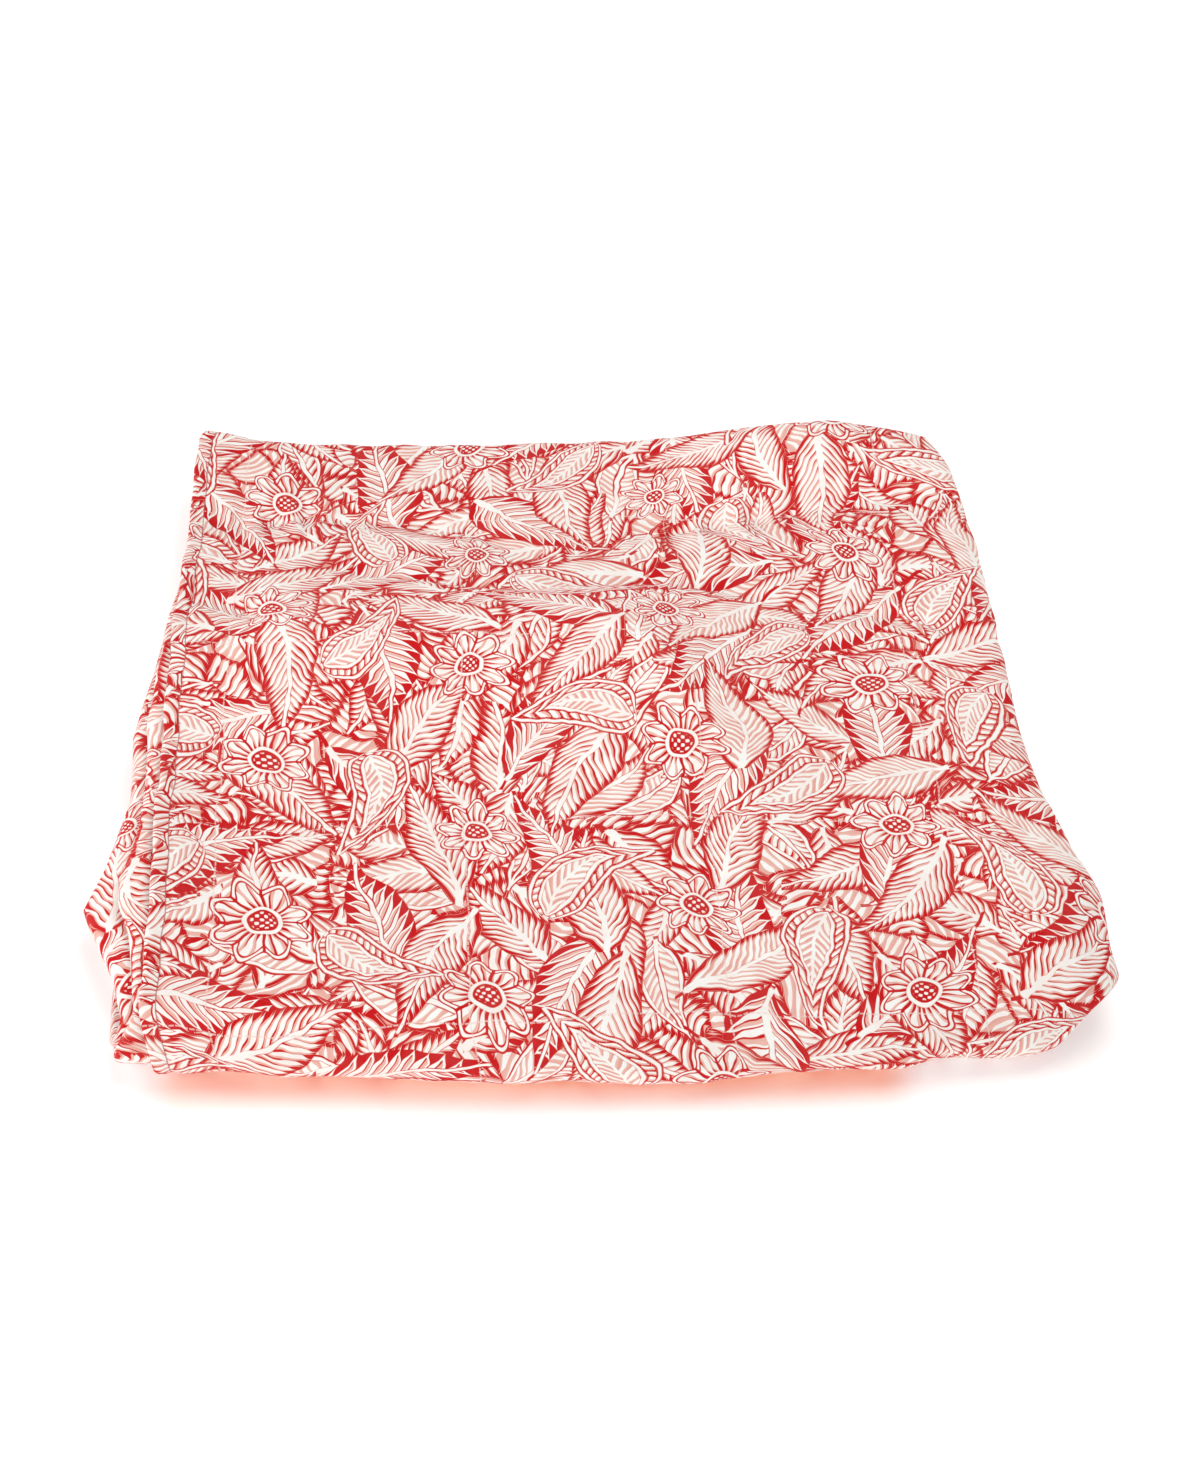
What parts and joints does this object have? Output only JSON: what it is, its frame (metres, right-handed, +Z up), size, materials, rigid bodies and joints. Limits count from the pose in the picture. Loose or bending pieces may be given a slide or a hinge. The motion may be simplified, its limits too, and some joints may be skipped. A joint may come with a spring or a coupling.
{
  "type": "folded quilted coverlet",
  "caption": "Thin quilted bed coverlet lying folded: width folded in thirds, strip folded in half and in half again, one round fold at the front, hem along the left side.",
  "frame": {"origin": "on the surface the coverlet lies on, under the middle of its bounding box", "axes": "+X to the right along the front fold, +Y from the front fold to the back, +Z up"},
  "size_m": [0.6586, 0.5896, 0.0801],
  "materials": {
    "printed_cotton": "matt printed cotton, red ground with a dense cream leaf and flower print"
  },
  "bodies": {
    "root": {"coverlet": "printed_cotton"}
  },
  "joints": []
}
